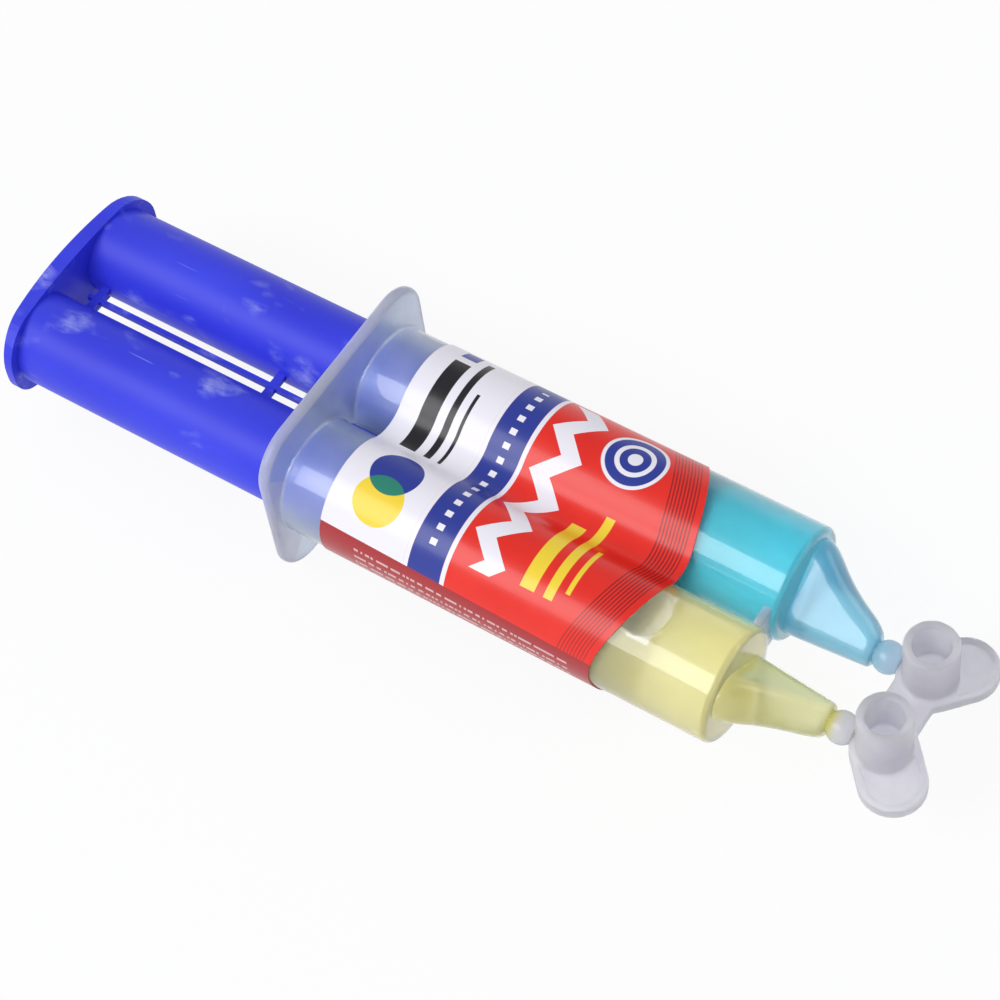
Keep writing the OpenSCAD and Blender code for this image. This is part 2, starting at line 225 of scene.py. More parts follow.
def oval(t, inset, side, steps=72):
    """Outline of a nozzle at a share t of its length.

    Its root joins two circles by blending their support functions.
    """
    circles = [
        (AXIS_Y + dy * BORE_R, AXIS_Z + dz * BORE_R, r * BORE_R)
        for dy, dz, r in (ROOT_LOW, ROOT_HIGH)
    ]
    bulge = float(np.interp(t, BULGE_AT, BULGE_MM)) * MM
    points = []
    for j in range(steps):
        a = 2 * math.pi * j / steps
        n = np.array([math.cos(a), math.sin(a)])
        supports = [np.array(c[:2]) @ n + c[2] for c in circles]
        weights = np.exp(BLEND_SHARPNESS * (np.array(supports) - max(supports)))
        weights /= weights.sum()
        centre = sum(w * np.array(c[:2]) for w, c in zip(weights, circles))
        radius = sum(w * c[2] for w, c in zip(weights, circles))
        root = centre + radius * n
        tip = np.array([TIP_Y, TIP_Z]) + TIP_R * n
        outward = max(0.0, n[0] * BULGE_TO[0] + n[1] * BULGE_TO[1])
        p = (1 - t) * root + t * tip + (bulge * outward - inset) * n
        points.append((side * p[0], p[1]))
    return points


def from_axis(point, side):
    """Distance of a point from the axis of a side's barrel."""
    return math.hypot(point.y - side * AXIS_Y, point.z - AXIS_Z)


# ---------------------------------------------------------------- clear moulding
def flange_plate():
    """Finger flange: rounded plate with well rounded edges."""
    corner, edge = 7.4 * MM, 0.85 * MM
    half_y = (flange_high.y - flange_low.y) / 2
    half_z = (flange_high.z - flange_low.z) / 2
    return skinned("flange_plate", [
        ring_at(x, rounded_outline(half_y, half_z, corner, inset))
        for x, inset in rounded_edges(flange_low.x, flange_high.x, edge, steps=6)
    ])


def barrel_solid(side):
    """Outside of a barrel: a small fillet at the flange and a rounded rim."""
    fillet, rim, sunk = 0.5 * MM, 0.9 * MM, 0.6 * MM
    profile = [(BARREL_X0 - sunk, BARREL_R + fillet)]
    for a in quarter(steps=4):
        x = BARREL_X0 + fillet * (1 - math.cos(a))
        profile.append((x, BARREL_R + fillet * (1 - math.sin(a))))
    profile.append((LABEL_MIDDLE_X, BARREL_R))
    for a in quarter(steps=6):
        x = BARREL_X1 - rim * (1 - math.sin(a))
        profile.append((x, BARREL_R - rim * (1 - math.cos(a))))
    return turned("barrel", profile, side * AXIS_Y, AXIS_Z)


def nozzle_solid(side, name, x0, x1, inset):
    """Tapered oblique nozzle, rounded at its tip."""
    tip_round, tip_flat, taper_rings = 0.7 * MM, 0.75, 22
    length = NOZZLE_X1 - BARREL_X1
    steps = [(x, inset) for x in np.linspace(x0, x1 - tip_round, taper_rings)]
    for a in quarter(steps=4)[1:]:
        x = x1 - tip_round * (1 - math.sin(a))
        steps.append((x, inset + tip_round * tip_flat * (1 - math.cos(a))))
    rings = []
    for x, drawn_in in steps:
        t = min(1.0, max(0.0, (x - BARREL_X1) / length))
        rings.append(ring_at(x, oval(t, drawn_in, side)))
    return skinned(name, rings)


def end_tie_solid():
    """Small plate between the barrels' ends, its edges rounded."""
    edge, lower_by, reach = 0.8 * MM, 0.4 * MM, 0.6 * AXIS_Y
    mid_z = (tie_low.z + tie_high.z) / 2
    half_z = (tie_high.z - tie_low.z) / 2 - lower_by
    return skinned("end_tie_plate", [
        ring_at(x, rectangle(reach, mid_z, half_z - inset))
        for x, inset in rounded_edges(tie_low.x, tie_high.x, edge, steps=4)
    ])


def clear_body():
    """The clear moulding as one piece: flange, both barrels, their tie and both nozzles."""
    nozzle_sunk, cut_before, slot_past = 0.4 * MM, 1 * MM, 0.6 * MM
    slot_half_y, slot_half_z = 0.8 * MM, 1.05 * MM
    body = flange_plate()
    for side in SIDES.values():
        boolean(body, barrel_solid(side), "UNION")
    boolean(body, end_tie_solid(), "UNION")
    for side in SIDES.values():
        nozzle = nozzle_solid(side, "nozzle", BARREL_X1 - nozzle_sunk, NOZZLE_X1, 0)
        boolean(body, nozzle, "UNION")
    bore = [(x, BORE_R) for x in (flange_low.x - cut_before, PISTON_X, CHAMBER_X1)]
    for side in SIDES.values():
        boolean(body, turned("bore", bore, side * AXIS_Y, AXIS_Z), "DIFFERENCE")
    slot = skinned("slot", [
        ring_at(x, rectangle(slot_half_y, AXIS_Z, slot_half_z))
        for x in (flange_low.x - cut_before, flange_high.x + slot_past)
    ])
    boolean(body, slot, "DIFFERENCE")
    body.name = "clear_moulding"
    body.data.name = "clear_moulding"
    return body


# ---------------------------------------------------------------- label
def label_rows():
    """Half outline of the label on the hardener's side, from the top dip to the bottom one.

    Its rows are (y, z, outward normal, length from the top dip), with z from the barrels' axes.
    """
    dip_steps, wrap_steps = 10, 72
    dip_z = math.sqrt((LABEL_R + LABEL_DIP_R) ** 2 - AXIS_Y ** 2)
    wrap = math.atan2(dip_z, -AXIS_Y)
    dip_from, dip_to = math.radians(-90), -(math.pi - wrap)
    rows, length = [], 0.0

    def add(y, z, n):
        nonlocal length
        if rows:
            length += math.hypot(y - rows[-1][0], z - rows[-1][1])
        rows.append((y, z, n, length))

    def add_in_dip(centre_z, a):
        c, s = math.cos(a), math.sin(a)
        add(LABEL_DIP_R * c, centre_z + LABEL_DIP_R * s, (-c, -s))

    for i in range(dip_steps):
        add_in_dip(dip_z, dip_from + (dip_to - dip_from) * i / dip_steps)
    for i in range(wrap_steps + 1):
        a = wrap - 2 * wrap * i / wrap_steps
        add(AXIS_Y + LABEL_R * math.cos(a), LABEL_R * math.sin(a), (math.cos(a), math.sin(a)))
    for i in range(1, dip_steps + 1):
        add_in_dip(-dip_z, -dip_to + (-dip_from + dip_to) * i / dip_steps)
    return rows


def label_piece():
    """Wrapped film, its seam in the bottom dip, with two UV maps of its flat shape.

    The first map holds U along the barrels from the flange, the second one U back from the front
    edge. V runs round the barrels from the top dip, positive to the hardener's side.
    """
    half = label_rows()
    ring = [(-y, z, (-n[0], n[1]), -v) for y, z, n, v in reversed(half)] + half[1:]
    start, end = label_low.x, label_high.x
    half_width = AXIS_Y + LABEL_R
    sweep_r = (half_width ** 2 + LABEL_SWEEP ** 2) / (2 * LABEL_SWEEP)
    columns = 56
    outer, inner, flat = [], [], []
    for y, z, n, v in ring:
        front = end - sweep_r + math.sqrt(sweep_r ** 2 - (y + LABEL_SKEW) ** 2)
        for i in range(columns + 1):
            x = start + (front - start) * i / columns
            outer.append((x, y, AXIS_Z + z))
            inner.append((x, y - n[0] * LABEL_T, AXIS_Z + z - n[1] * LABEL_T))
            flat.append((x, v, front))
    rows, cols = len(ring), columns + 1
    base = rows * cols
    faces, inside = [], []
    for i in range(rows - 1):
        for j in range(columns):
            a, d = i * cols + j, (i + 1) * cols + j
            faces.append((a, a + 1, d + 1, d))
            inside.append(len(faces))
            faces.append((base + d, base + d + 1, base + a + 1, base + a))
    for i in range(rows - 1):
        for j in (0, columns):
            a, d = i * cols + j, (i + 1) * cols + j
            faces.append((a, d, base + d, base + a))
    for j in range(columns):
        for i in (0, rows - 1):
            a = i * cols + j
            faces.append((a, a + 1, base + a + 1, base + a))
    mesh = mesh_from("printed_label", outer + inner, faces)
    layer = mesh.uv_layers.new(name="flat")
    edge = mesh.uv_layers.new(name="from_edge")
    for loop in mesh.loops:
        x, v, front = flat[loop.vertex_index % base]
        layer.data[loop.index].uv = ((x - flange_high.x) / MM / UV_MM, v / MM / UV_MM)
        edge.data[loop.index].uv = ((front - x) / MM / UV_MM, v / MM / UV_MM)
    for face in inside:
        mesh.polygons[face].material_index = 1
    smooth(mesh, angle=50)
    return new_object("printed_label", mesh)


# ---------------------------------------------------------------- liquids
def column_piece(name, side):
    """Column of liquid, drawn in at its rim where it meets the piston."""
    r, curve, rings = BORE_R - FILL_GAP, 0.35 * MM, 12
    straight = CHAMBER_X1 - PISTON_X - 2 * curve
    profile = []
    for a in quarter(steps=4):
        x = PISTON_X + FILL_GAP + curve * (1 - math.cos(a))
        profile.append((x, r - curve * (1 - math.sin(a))))
    for i in range(1, rings + 1):
        profile.append((PISTON_X + curve + straight * i / rings, r))
    profile.append((CHAMBER_X1 - FILL_GAP, r - curve / 2))
    column = turned(name, profile, side * AXIS_Y, AXIS_Z)
    smooth(column.data)
    return column


def ellipsoid(name, centre, half_sizes, turn, subdivisions=5):
    """Ellipsoid turned round X, so that its third half size leans from +Z towards -Y."""
    mesh = bpy.data.meshes.new(name)
    bm = bmesh.new()
    bmesh.ops.create_icosphere(bm, subdivisions=subdivisions, radius=1.0)
    scale = Matrix.Diagonal((*half_sizes, 1.0))
    bm.transform(Matrix.Translation(centre) @ Matrix.Rotation(turn, 4, "X") @ scale)
    bm.to_mesh(mesh)
    bm.free()
    return new_object(name, mesh)


def cut_bubble(column, side, x, turn):
    """Air bubble that lies against the top of a column's wall, its faces in the second slot."""
    half_wide, half_deep, centre_in = 4.2 * MM, 2.6 * MM, 0.9 * MM
    reach = 1.02 * half_wide
    out = BORE_R - centre_in
    centre = Vector((x, side * AXIS_Y - out * math.sin(turn), AXIS_Z + out * math.cos(turn)))
    bubble = ellipsoid("bubble", centre, (half_wide, half_wide, half_deep), turn)
    boolean(column, bubble, "DIFFERENCE")
    for face in column.data.polygons:
        near = (face.center - centre).length < reach
        off_wall = from_axis(face.center, side) < BORE_R - MARGIN
        face.material_index = int(near and off_wall)
    smooth(column.data)


def nozzle_liquid(name, side):
    """Liquid in a nozzle, with its passage through the end wall."""
    after_wall, before_tip = 0.1 * MM, 1.1 * MM
    passage_r, passage_past, segments = 2.97 * MM, 0.9 * MM, 48
    obj = nozzle_solid(side, name, BARREL_X1 + after_wall, NOZZLE_X1 - before_tip, NOZZLE_WALL)
    dy, dz, _ = ROOT_LOW
    y, z = side * (AXIS_Y + dy * BORE_R), AXIS_Z + dz * BORE_R
    profile = [(CHAMBER_X1, passage_r), (BARREL_X1 + passage_past, passage_r)]
    boolean(obj, turned("passage", profile, y, z, segments), "UNION")
    smooth(obj.data)
    return obj


# ---------------------------------------------------------------- snap-off tab
def joined(name, names):
    """One object from copies of CAD nodes' meshes."""
    bm = bmesh.new()
    for n in names:
        bm.from_mesh(nodes[n].data)
    bmesh.ops.remove_doubles(bm, verts=bm.verts, dist=WELD)
    mesh = bpy.data.meshes.new(name)
    bm.to_mesh(mesh)
    bm.free()
    mesh.materials.clear()
    return new_object(name, mesh)


def tab_piece():
    """The tab as one soft-edged moulding."""
    voxel, softening, passes = 0.25 * MM, 0.5, 14
    obj = joined("snap_off_tab", [
        "tab_bridge", "resin_wing", "hardener_wing", "resin_socket", "hardener_socket",
    ])
    remesh = obj.modifiers.new("skin", "REMESH")
    remesh.mode = "VOXEL"
    remesh.voxel_size = voxel
    soften = obj.modifiers.new("soften", "SMOOTH")
    soften.factor = softening
    soften.iterations = passes
    mesh = evaluated(obj, "snap_off_tab")
    obj.modifiers.clear()
    obj.data = mesh
    smooth_all(mesh)
    return obj


# ---------------------------------------------------------------- node trees
class Tree:
    """Short way to build the node tree of a material or a world."""

    def __init__(self, owner, output="OutputMaterial"):
        self.owner = owner
        owner.use_nodes = True
        self.tree = owner.node_tree
        self.tree.nodes.clear()
        self.output = self.node(output)

    def node(self, kind, inputs=None, **settings):
        """New shader node with its settings and its inputs, by name or number."""
        n = self.tree.nodes.new("ShaderNode" + kind)
        for key, value in settings.items():
            setattr(n, key, value)
        for key, value in (inputs or {}).items():
            self.put(n.inputs[key], value)
        return n

    def put(self, socket, value):
        """Links an output to a socket, or sets its plain value."""
        if isinstance(value, bpy.types.NodeSocket):
            self.tree.links.new(value, socket)
        else:
            socket.default_value = value

    def math(self, operation, *values):
        """Result of a math node."""
        return self.node("Math", dict(enumerate(values)), operation=operation).outputs[0]

    def times(self, a, b):
        """Product of two values."""
        return self.math("MULTIPLY", a, b)

    def plus(self, a, b):
        """Sum of two values."""
        return self.math("ADD", a, b)

    def minus(self, a, b):
        """Difference of two values."""
        return self.math("SUBTRACT", a, b)

    def most(self, *values):
        """Largest of some values."""
        found = values[0]
        for value in values[1:]:
            found = self.math("MAXIMUM", found, value)
        return found

    def mix(self, share, a, b):
        """Colour mix of a and b by a share."""
        return self.node("Mix", {0: share, 6: a, 7: b}, data_type="RGBA").outputs[2]

    def mix_shaders(self, share, a, b):
        """Mix of two shaders by a share."""
        return self.node("MixShader", {0: share, 1: a, 2: b}).outputs[0]

    def noise(self, vector, scale, detail=3.0, roughness=0.5):
        """Fractal noise at a vector."""
        inputs = {"Vector": vector, "Scale": scale, "Detail": detail, "Roughness": roughness}
        return self.node("TexNoise", inputs).outputs["Fac"]

    def grain(self, along, across, scale, detail=3.0, roughness=0.5):
        """Noise in the piece's own place, stretched along X and across it."""
        stretch = {"Vector": self.place(), "Scale": (along, across, across)}
        vector = self.node("Mapping", stretch).outputs["Vector"]
        return self.noise(vector, scale, detail, roughness)

    def ramp(self, value, low, high):
        """0 to 1 as a value goes from low to high."""
        inputs = {"Value": value, "From Min": low, "From Max": high}
        return self.node("MapRange", inputs, clamp=True).outputs["Result"]

    def spread(self, noise):
        """0 to 1 over the range that noise mostly has."""
        return self.ramp(noise, 0.3, 0.7)

    def place(self):
        """Place on the piece in its own coordinates."""
        return self.node("TexCoord").outputs["Object"]

    def bump(self, height, strength, distance):
        """Normal with a height's bumps."""
        inputs = {"Height": height, "Strength": strength, "Distance": distance}
        return self.node("Bump", inputs).outputs["Normal"]

    def lit_through(self, shader, tint):
        """Lets the lamps' light pass on to what lies behind a clear piece."""
        passing = self.node("BsdfTransparent", {"Color": tint})
        share = self.node("LightPath").outputs["Is Shadow Ray"]
        return self.mix_shaders(share, shader, passing.outputs[0])

    def finish(self, shader):
        """Sets the surface's shader and gives back the material or world."""
        self.put(self.output.inputs["Surface"], shader)
        return self.owner


def material_tree(name):
    """Node tree of a new material."""
    return Tree(bpy.data.materials.new(name))


def rgb(r, g, b):
    """Colour of 0 to 255 display values as linear values."""
    def linear(v):
        v /= 255
        return v / 12.92 if v <= 0.04045 else ((v + 0.055) / 1.055) ** 2.4
    return (linear(r), linear(g), linear(b), 1.0)


# ---------------------------------------------------------------- materials
PLASTIC_IOR = 1.49
FILM_IOR = 1.45
BUBBLE_IOR = 1.45
WETTED_IOR = 1.01  # of a liquid against its wall: next to nothing bends the light there
SKIN_ROUGHNESS = 0.03  # of the glossy skin over clear plastic
SCATTER_RADIUS = (0.009, 0.009, 0.0095)  # metres that red, green and blue go in the tab

WHITE, BLACK = rgb(240, 237, 245), rgb(26, 24, 30)
RED, PALE_RED, DEEP_RED, DARK_RED = (
    rgb(228, 34, 24), rgb(234, 42, 28), rgb(170, 38, 44), rgb(120, 14, 24),
)
BLUE, YELLOW, GREEN, ROSE = (
    rgb(40, 56, 150), rgb(246, 214, 56), rgb(40, 130, 110), rgb(238, 206, 206),
)


def clear_material(name, pale, deep, transmission, roughness, skin):
    """Moulded polypropylene, clear to milky, under a share of glossy skin."""
    t = material_tree(name)
    mottle = t.grain(90.0, 90.0, 3.0)
    flow = t.grain(40.0, 160.0, 2.0, 1.0)
    shader = t.node("BsdfPrincipled", {
        "Base Color": t.mix(t.spread(mottle), deep, pale),
        "Roughness": t.times(t.ramp(flow, -1.5, 2.5), 2.0 * roughness),
        "IOR": PLASTIC_IOR,
        "Transmission Weight": transmission,
        "Coat Weight": skin,
        "Coat Roughness": SKIN_ROUGHNESS,
        "Normal": t.bump(flow, 0.05, 0.2 * MM),
    })
    return t.finish(t.lit_through(shader.outputs[0], pale))


def wetted_material():
    """Wall with liquid behind it: nothing bends the light there."""
    t = material_tree("wetted_wall")
    return t.finish(t.node("BsdfTransparent").outputs[0])


def liquid_material(name, light, deep, clear_share):
    """Thick tinted liquid that touches the wall all over."""
    t = material_tree(name)
    swirl = t.grain(25.0, 70.0, 2.0, 4.0)
    shader = t.node("BsdfPrincipled", {
        "Base Color": t.mix(t.spread(swirl), deep, light),
        "Roughness": 0.0,
        "IOR": WETTED_IOR,
        "Transmission Weight": clear_share,
        "Specular IOR Level": 0.0,
    })
    return t.finish(t.lit_through(shader.outputs[0], light))


def bubble_material(light, deep):
    """Wall of an air bubble in the liquid."""
    t = material_tree("bubble_wall")
    ripple = t.grain(500.0, 500.0, 1.5)
    shader = t.node("BsdfPrincipled", {
        "Base Color": t.mix(ripple, light, deep),
        "Roughness": 0.02,
        "IOR": BUBBLE_IOR,
        "Transmission Weight": 0.7,
        "Coat Weight": 1.0,
        "Coat Roughness": SKIN_ROUGHNESS,
        "Normal": t.bump(ripple, 0.1, 0.3 * MM),
    })
    return t.finish(t.lit_through(shader.outputs[0], light))


def blue_material():
    """Glossy blue moulding with pale rubs and hairline scratches along it."""
    t = material_tree("blue_moulding")
    tone = t.grain(18.0, 40.0, 2.0)
    colour = t.mix(t.ramp(tone, 0.3, 0.75), rgb(54, 60, 216), rgb(62, 72, 232))
    rub_places = t.grain(75.0, 110.0, 1.3, 2.0)
    rub_grain = t.grain(420.0, 900.0, 1.2, 3.0, 0.6)
    rubs = t.times(t.ramp(rub_places, 0.6, 0.76), t.ramp(rub_grain, 0.3, 0.75))
    hair_places = t.grain(22.0, 800.0, 2.0, 1.0)
    hair_breaks = t.grain(120.0, 60.0, 1.0, 1.0)
    hairs = t.times(t.ramp(hair_places, 0.72, 0.75), t.ramp(hair_breaks, 0.5, 0.6))
    hair_weight, paling, roughness, roughening = 0.4, 0.65, 0.42, 0.2
    worn = t.math("MINIMUM", t.plus(rubs, t.times(hairs, hair_weight)), 1.0)
    shader = t.node("BsdfPrincipled", {
        "Base Color": t.mix(t.times(worn, paling), colour, rgb(196, 204, 250)),
        "Roughness": t.plus(roughness, t.times(worn, roughening)),
        "IOR": PLASTIC_IOR,
        "Specular IOR Level": 0.28,
        "Normal": t.bump(worn, 0.1, 0.1 * MM),
    })
    return t.finish(shader.outputs[0])


def piston_material():
    """Natural polyethylene with a fine grain."""
    t = material_tree("piston_polyethylene")
    fine = t.grain(400.0, 400.0, 2.0)
    shader = t.node("BsdfPrincipled", {
        "Base Color": t.mix(fine, rgb(222, 222, 228), rgb(240, 240, 244)),
        "Roughness": t.ramp(fine, -1.0, 3.0),
        "Normal": t.bump(fine, 0.1, 0.1 * MM),
    })
    return t.finish(shader.outputs[0])


def tab_material():
    """Frosted moulding that light goes far into."""
    t = material_tree("frosted_tab")
    mottle = t.grain(90.0, 90.0, 3.0)
    fine = t.grain(900.0, 900.0, 2.0)
    shader = t.node("BsdfPrincipled", {
        "Base Color": t.mix(t.spread(mottle), rgb(236, 233, 247), rgb(245, 243, 253)),
        "Roughness": t.ramp(fine, -2.0, 4.0),
        "IOR": PLASTIC_IOR,
        "Transmission Weight": 0.5,
        "Subsurface Weight": 1.0,
        "Subsurface Radius": SCATTER_RADIUS,
        "Subsurface Scale": 1.0,
        "Normal": t.bump(fine, 0.06, 0.1 * MM),
    })
    return t.finish(shader.outputs[0])


def ball_material(name, glass, liquid, core, near, far):
    """Clear ball, tinted by the liquid left in it within near to far of its core."""
    t = material_tree(name)
    place = {0: t.place(), 1: core}
    distance = t.node("VectorMath", place, operation="DISTANCE").outputs["Value"]
    shader = t.node("BsdfPrincipled", {
        "Base Color": t.mix(t.ramp(distance, far, near), glass, liquid),
        "Roughness": t.ramp(t.grain(300.0, 300.0, 3.0), -0.5, 8.0),
        "IOR": PLASTIC_IOR,
        "Transmission Weight": 0.6,
    })
    return t.finish(shader.outputs[0])


def film_back_material():
    """Unprinted inner side of the label's film."""
    t = material_tree("film_back")
    sheen = t.grain(60.0, 60.0, 2.0)
    shader = t.node("BsdfPrincipled", {
        "Base Color": t.mix(sheen, rgb(244, 238, 240), rgb(232, 226, 230)),
        "Roughness": t.ramp(sheen, -1.0, 3.0),
    })
    return t.finish(shader.outputs[0])


# ---------------------------------------------------------------- label's print
class Print:
    """Shapes printed over a ground colour, placed by the label's flat coordinates in mm."""

    def __init__(self, tree, ground):
        self.t = tree
        self.colour = ground
        self.u, self.v = self.flat_place("flat")
        self.from_edge, _ = self.flat_place("from_edge")

    def flat_place(self, uv_map):
        """U and V of a UV map, in mm."""
        flat = self.t.node("SeparateXYZ", {0: self.t.node("UVMap", uv_map=uv_map).outputs[0]})
        return self.t.times(flat.outputs[0], UV_MM), self.t.times(flat.outputs[1], UV_MM)

    def lay(self, mask, tint):
        """Prints a colour where a mask is 1."""
        self.colour = self.t.mix(mask, self.colour, tint)

    def soft_step(self, value, edge):
        """1 where value is below edge."""
        blur = 0.04
        return self.t.ramp(value, edge + blur, edge - blur)

    def band(self, value, low, high):
        """1 where value is between low and high."""
        middle, half = (low + high) / 2, (high - low) / 2
        return self.soft_step(self.t.math("ABSOLUTE", self.t.minus(value, middle)), half)

    def block(self, u0, u1, v0, v1):
        """Upright rectangle."""
        return self.t.times(self.band(self.u, u0, u1), self.band(self.v, v0, v1))

    def blocks(self, *sizes):
        """Several upright rectangles."""
        return self.t.most(*(self.block(*size) for size in sizes))

    def reach(self, u, v):
        """Distance from a point."""
        t = self.t
        du, dv = t.minus(self.u, u), t.minus(self.v, v)
        return t.math("SQRT", t.plus(t.math("POWER", du, 2.0), t.math("POWER", dv, 2.0)))

    def disc(self, u, v, r):
        """Filled circle."""
        return self.soft_step(self.reach(u, v), r)

    def ring(self, u, v, r, width):
        """Circle of an outer radius and a width."""
        return self.band(self.reach(u, v), r - width, r)

    def repeats(self, value, per_mm, share):
        """1 over the first share of each period of a value."""
        turns = self.t.times(value, per_mm)
        return self.t.math("LESS_THAN", self.t.math("FRACT", turns), share)


def print_front_lines(t, p):
    """Fine darker lines that follow the front edge and fade down the sides."""
    lines_per_mm, line_share = 1.7, 0.42
    zone_from, zone_to = 1.2, 6.4
    full_to, faint_from, faint, added = 12.0, 23.0, 0.45, 0.35
    lines = p.repeats(p.from_edge, lines_per_mm, line_share)
    fading = t.ramp(t.math("ABSOLUTE", p.v), faint_from, full_to)
    strength = t.plus(faint, t.times(fading, added))
    zone = t.times(p.band(p.from_edge, zone_from, zone_to), strength)
    p.lay(t.times(lines, zone), DARK_RED)


def print_rear_panel(t, p):
    """White panel with two rounds that meet, bars and a square, and a blue band with dots."""
    field_v, round_u, round_r, yellow_v, blue_v = 30, 15.8, 4.3, -15.2, -9.6
    dots_u0, dots_u1, dots_v, dots_per_mm, dot_share = 26.6, 27.8, 18, 0.4, 0.42
    fields = ((-5, 23.4, WHITE), (24.2, 30.2, BLUE), (23.4, 24.2, WHITE), (30.2, 31.0, WHITE))
    for u0, u1, tint in fields:
        p.lay(p.block(u0, u1, -field_v, field_v), tint)
    yellow_round = p.disc(round_u, yellow_v, round_r)
    blue_round = p.disc(round_u, blue_v, round_r)
    p.lay(yellow_round, YELLOW)
    p.lay(blue_round, BLUE)
    p.lay(t.times(yellow_round, blue_round), GREEN)
    bars = p.blocks((11.4, 14.4, -2.4, 15.6), (16.0, 17.2, -2.4, 18.6), (18.6, 19.2, -2.4, 11.0))
    p.lay(bars, BLACK)
    p.lay(p.block(11.4, 14.4, 17.2, 20.2), BLUE)
    dots = t.times(p.band(p.u, dots_u0, dots_u1), p.repeats(p.v, dots_per_mm, dot_share))
    p.lay(t.times(dots, p.band(p.v, -dots_v, dots_v)), WHITE)


def print_red_field(t, p):
    """Broad white zigzag and yellow bars on the red field."""
    zigzag_u, zigzag_v0, zigzag_v1 = 34.0, -18.0, 20.0
    swing, half_width, lift = 4.0, 1.9, 60.0  # the lift keeps V above 0
    wave = t.math("PINGPONG", t.plus(p.v, lift), swing)
    away = t.math("ABSOLUTE", t.minus(t.minus(p.u, zigzag_u), wave))
    p.lay(t.times(p.soft_step(away, half_width), p.band(p.v, zigzag_v0, zigzag_v1)), WHITE)
    bars = p.blocks((43.0, 45.6, -17.0, -1.0), (47.2, 48.8, -17.0, 2.5), (50.2, 51.0, -15.0, -5.0))
    p.lay(bars, YELLOW)


def print_badge(t, p):
    """Round badge with a ring and a dot."""
    u, v, r, rim = 46.8, 12.8, 5.4, 0.6
    ring_r, ring_width, dot_r = 3.3, 0.8, 1.2
    p.lay(p.disc(u, v, r), BLUE)
    p.lay(p.ring(u, v, r, rim), WHITE)
    p.lay(t.most(p.ring(u, v, ring_r, ring_width), p.disc(u, v, dot_r)), WHITE)


def print_side_fields(t, p):
    """Darker fields down both sides, with rows of short pale dashes."""
    field_from, slant, rows_per_mm, row_share = 22.1, 0.031, 0.62, 0.3
    breaks_per_mm, break_level, strength = 1.4, 0.47, 0.7
    across = t.minus(t.math("ABSOLUTE", p.v), t.times(p.u, slant))
    p.lay(t.math("GREATER_THAN", across, field_from), DEEP_RED)
    rows = p.repeats(across, rows_per_mm, row_share)
    row_number = t.math("FLOOR", t.times(across, rows_per_mm))
    seed = t.node("CombineXYZ", {0: t.times(p.u, breaks_per_mm), 1: row_number}).outputs[0]
    inked = t.math("GREATER_THAN", t.noise(seed, scale=1.0, detail=0.0), break_level)
    in_rows = t.times(p.band(across, 23.9, 33.0), p.band(p.u, 14, 54))
    p.lay(t.times(t.times(t.times(rows, inked), in_rows), strength), ROSE)


def label_material():
    """Generic print of plain fields, bars and rounds in red, white, blue and yellow."""
    t = material_tree("printed_film")
    sheen = t.grain(60.0, 60.0, 2.0)
    p = Print(t, t.mix(t.spread(sheen), RED, PALE_RED))
    for lay_out in (
        print_front_lines, print_rear_panel, print_red_field, print_badge, print_side_fields,
    ):
        lay_out(t, p)
    shader = t.node("BsdfPrincipled", {
        "Base Color": p.colour,
        "Roughness": t.ramp(sheen, -1.6, 5.2),
        "IOR": FILM_IOR,
        "Coat Weight": 0.12,
        "Coat Roughness": 0.1,
        "Normal": t.bump(sheen, 0.03, 0.3 * MM),
    })
    return t.finish(shader.outputs[0])


# ---------------------------------------------------------------- camera, floor and lights
VIEW_FROM = Vector((0.18456, -0.21199, 0.43260))
VIEW_RIGHT = Vector((0.834276, 0.544296, -0.087891))
VIEW_UP = Vector((-0.414609, 0.724426, 0.550732))
LENS_MM, SENSOR_MM = 114.34, 36.0
CLIP_NEAR, CLIP_FAR = 0.01, 20.0
BACKDROP = (1, 1, 1, 1)
CEILING = (0.42, 0.43, 0.45, 1)
CEILING_FROM, CEILING_FULL = 0.25, 0.6  # heights of the direction looked in
WORLD_COLOUR = (0.94, 0.96, 1.0, 1)
WORLD_LIGHT = 0.5
FLOOR_COLOUR = (0.9, 0.9, 0.9, 1)
FLOOR_GLOW_SHARE = 0.9
FLOOR_HALF = 2.5
FLOOR_DROP = 0.05 * MM  # keeps the floor off the faces that rest on it

# direction from the part, distance, width, height and radiance of the lamps
SOFTBOXES = {
    "key_softbox": ((-0.33, -0.60, 0.73), 1.2, 1.1, 0.72, 4.0),
    "fill_softbox": ((0.6, 0.7, 0.6), 1.3, 0.6, 0.6, 1.2),
}


def add_camera():
    """Camera fitted to the photo."""
    data = bpy.data.cameras.new("camera")
    data.sensor_width = SENSOR_MM
    data.lens = LENS_MM
    data.clip_start, data.clip_end = CLIP_NEAR, CLIP_FAR
    camera = new_object("camera", data)
    axes = Matrix((VIEW_RIGHT, VIEW_UP, VIEW_RIGHT.cross(VIEW_UP))).transposed()
    camera.matrix_world = Matrix.Translation(VIEW_FROM) @ axes.to_4x4()
    bpy.context.scene.camera = camera


def add_softbox(name, direction, distance, width, height, radiance):
    """Area lamp that faces the part, its width level."""
    data = bpy.data.lights.new(name, "AREA")
    data.shape = "RECTANGLE"
    data.size, data.size_y = width, height
    data.energy = radiance * width * height * math.pi
    lamp = new_object(name, data)
    target = Vector((0, 0, AXIS_Z))
    lamp.location = target + Vector(direction).normalized() * distance
    lamp.rotation_euler = (target - lamp.location).to_track_quat("-Z", "Y").to_euler()


def seen_directly(t):
    """1 for rays from the camera, off gloss and through clear pieces."""
    path = t.node("LightPath").outputs
    return t.most(path["Is Glossy Ray"], path["Is Transmission Ray"], path["Is Camera Ray"])


